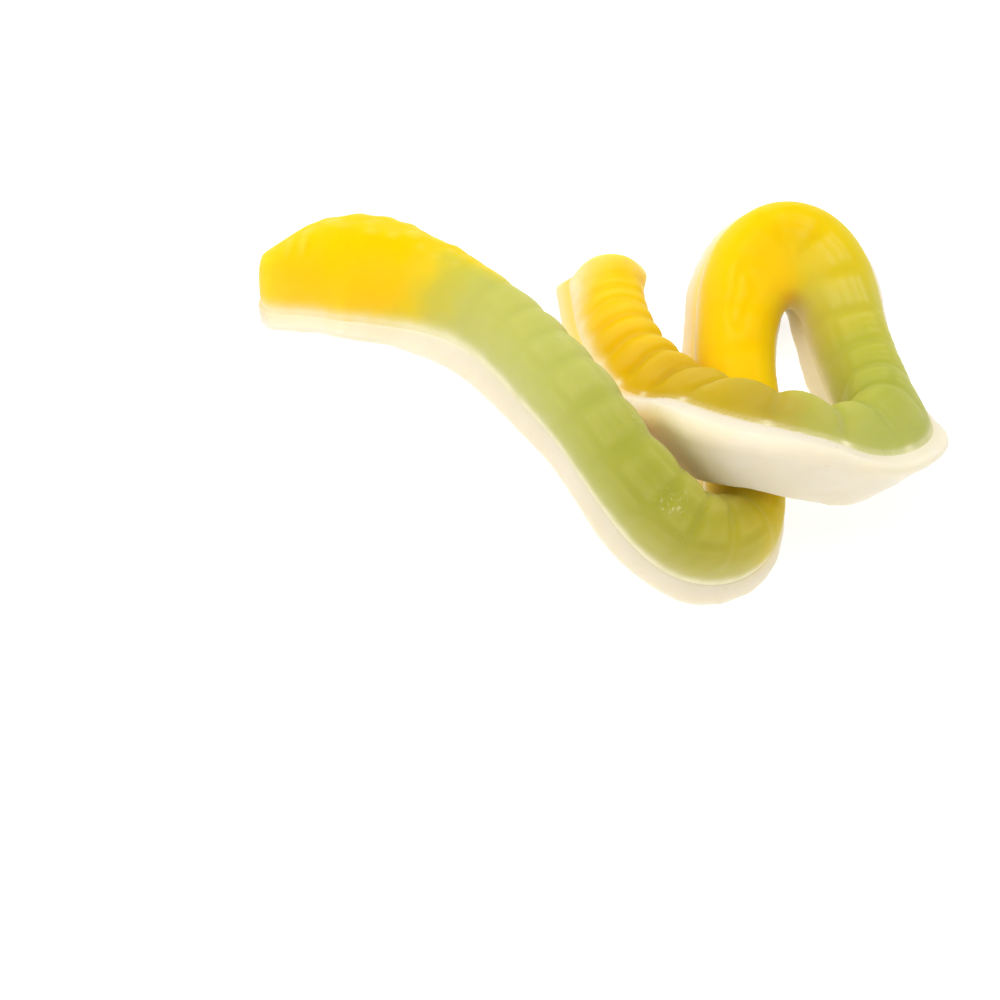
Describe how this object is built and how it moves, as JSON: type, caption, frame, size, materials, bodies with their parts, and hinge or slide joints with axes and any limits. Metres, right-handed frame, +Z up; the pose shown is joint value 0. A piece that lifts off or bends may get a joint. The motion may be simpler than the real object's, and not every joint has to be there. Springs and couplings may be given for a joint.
{
  "type": "gummy snake candy",
  "caption": "Long jelly snake sweet on a soft white foam belly, lying in a loose loop with its tail end over its own body; a sweet to eat.",
  "frame": {"origin": "centre of the footprint of the object's bounding box, on the surface it lies on", "axes": "+Z up from the surface it lies on; +X along the longest extent, from the head end towards the looped end; +Y away from the viewer of the picture"},
  "size_m": [0.0866, 0.0582, 0.0261],
  "materials": {
    "jelly": null,
    "foam": null
  },
  "bodies": {
    "root": {"jelly_body": "jelly", "foam_belly": "foam"}
  },
  "joints": []
}
